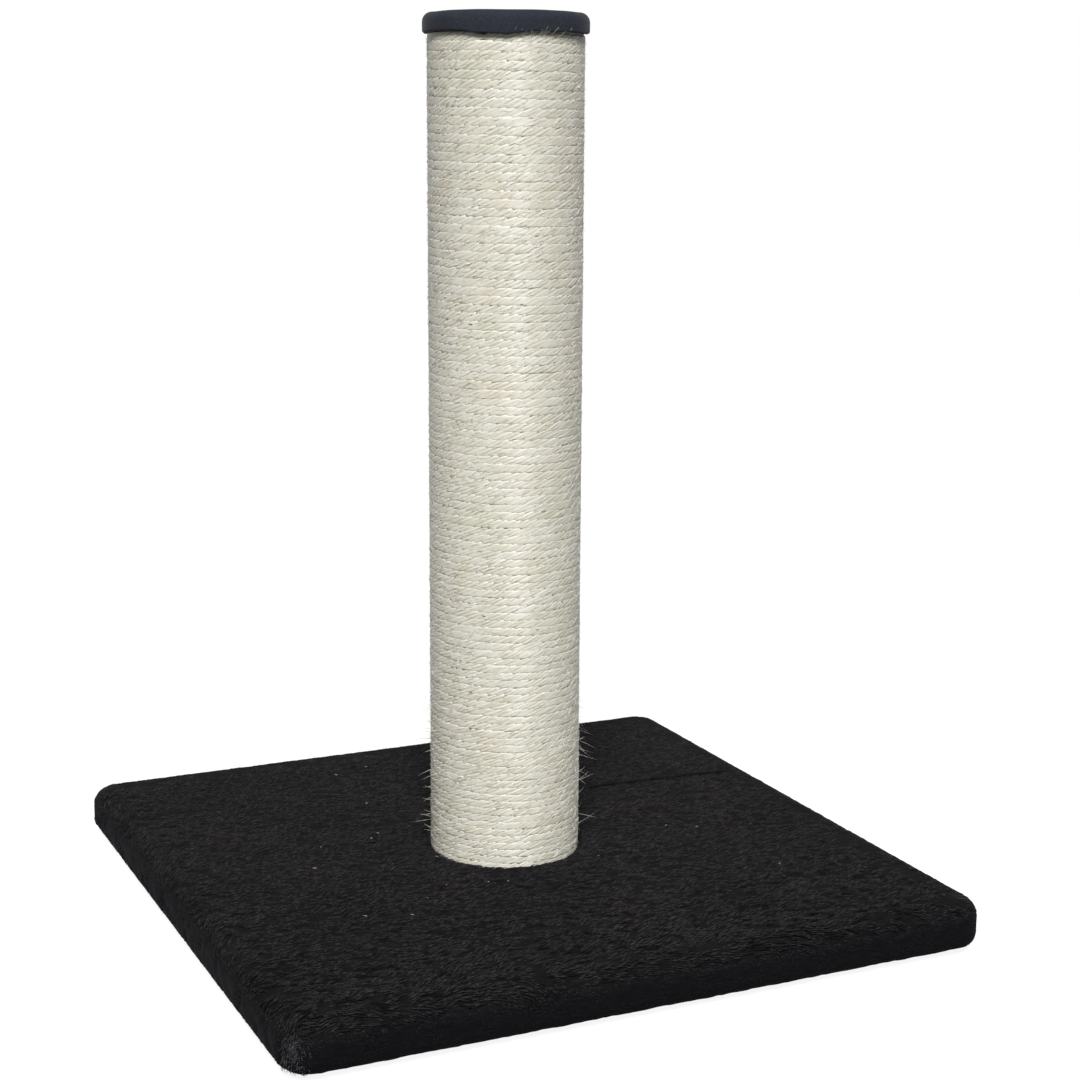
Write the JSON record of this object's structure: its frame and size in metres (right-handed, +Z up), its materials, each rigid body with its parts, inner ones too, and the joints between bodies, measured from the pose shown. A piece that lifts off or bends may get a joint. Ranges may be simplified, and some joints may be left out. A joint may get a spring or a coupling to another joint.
{
  "type": "cat scratching post",
  "caption": "Upright cat scratching post wound in natural sisal rope, with a dark cloth cap, bolted to a square base covered in black plush.",
  "frame": {"origin": "on the floor, under the middle of the base", "axes": "+Z up along the post, +X and +Y along the sides of the base"},
  "size_m": [0.4, 0.4, 0.5],
  "materials": {
    "mdf": "matte",
    "wadding": "matte",
    "plush": "matte",
    "cap_cloth": "matte",
    "non_woven": "matte",
    "cardboard": "matte",
    "sisal": "matte",
    "zinc_steel": "satin",
    "staple_wire": "satin",
    "rubber": "matte"
  },
  "bodies": {
    "base": {"base_board": "mdf", "base_padding": "wadding", "base_cover": "plush", "hem_staples": "staple_wire", "base_liner": "non_woven", "liner_staples": "staple_wire", "foot_pad_front_left": "rubber", "foot_pad_front_right": "rubber", "foot_pad_back_left": "rubber", "foot_pad_back_right": "rubber", "bolt_washer": "zinc_steel"},
    "bolt": {"clamp_bolt": "zinc_steel"},
    "post": {"tee_nut": "zinc_steel", "post_tube": "cardboard", "bottom_plug": "mdf", "bottom_plug_staples": "staple_wire", "top_plug": "mdf", "top_plug_staples": "staple_wire", "sisal_rope": "sisal", "rope_end_staples": "staple_wire", "cap_disc": "mdf", "cap_padding": "wadding", "cap_cover": "cap_cloth", "cap_staples": "staple_wire", "cap_screws": "zinc_steel"}
  },
  "joints": [
    {"name": "bolt_turn", "type": "hinge", "parent": "base", "child": "bolt", "pos_m": [0, 0, 0.0124], "axis": [0, 0, -1], "range_deg": [0, 5760]},
    {"name": "post_lift", "type": "slide", "parent": "base", "child": "post", "axis": [0, 0, 1], "range_m": [0, 0.02]}
  ],
  "couplings": [
    {"joint": "bolt_turn", "follows": "post_lift", "rad_per_m": 5026.5}
  ]
}
